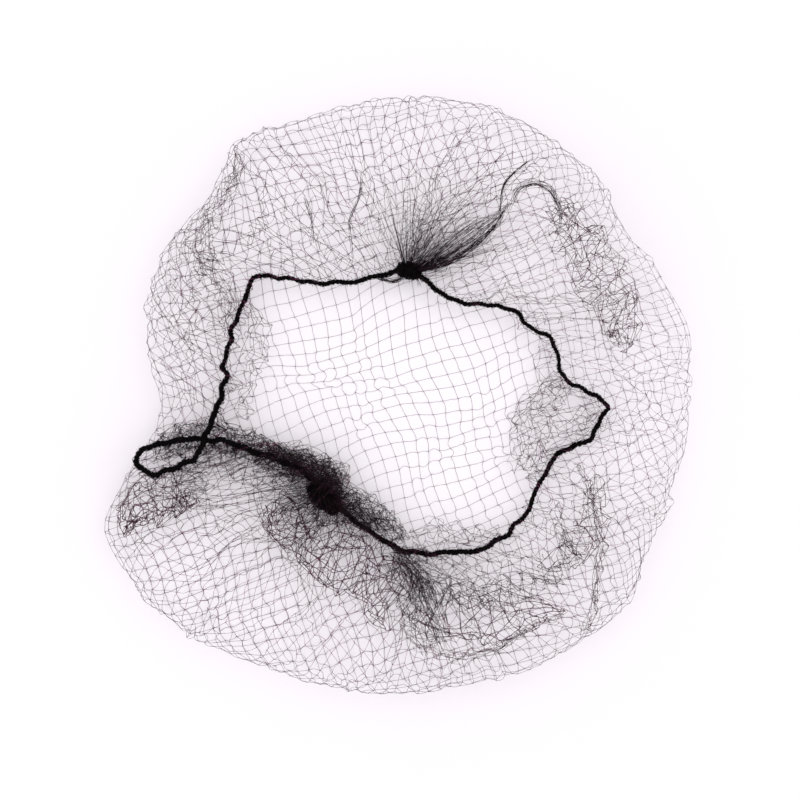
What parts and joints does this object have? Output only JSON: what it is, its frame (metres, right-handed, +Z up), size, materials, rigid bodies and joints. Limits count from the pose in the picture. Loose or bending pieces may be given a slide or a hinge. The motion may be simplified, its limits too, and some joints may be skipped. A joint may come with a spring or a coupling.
{
  "type": "hairnet",
  "caption": "Loose net bag on a closed elastic band, lying mouth up with its crown flat, its edge gathered into a small and a large knot; worn over the hair.",
  "frame": {"origin": "middle of the outline seen from above, at the level of the surface it lies on", "axes": "+Z up out of the mouth, +Y towards the small knot's side, +X to the right of the picture"},
  "size_m": [0.2032, 0.2089, 0.0221],
  "materials": {
    "net": "matte nylon thread",
    "elastic": "thread-covered elastic",
    "knot": "bunched nylon thread"
  },
  "bodies": {
    "root": {"net_bag": "net", "elastic_band": "elastic", "upper_knot": "knot", "lower_knot": "knot"}
  },
  "joints": []
}
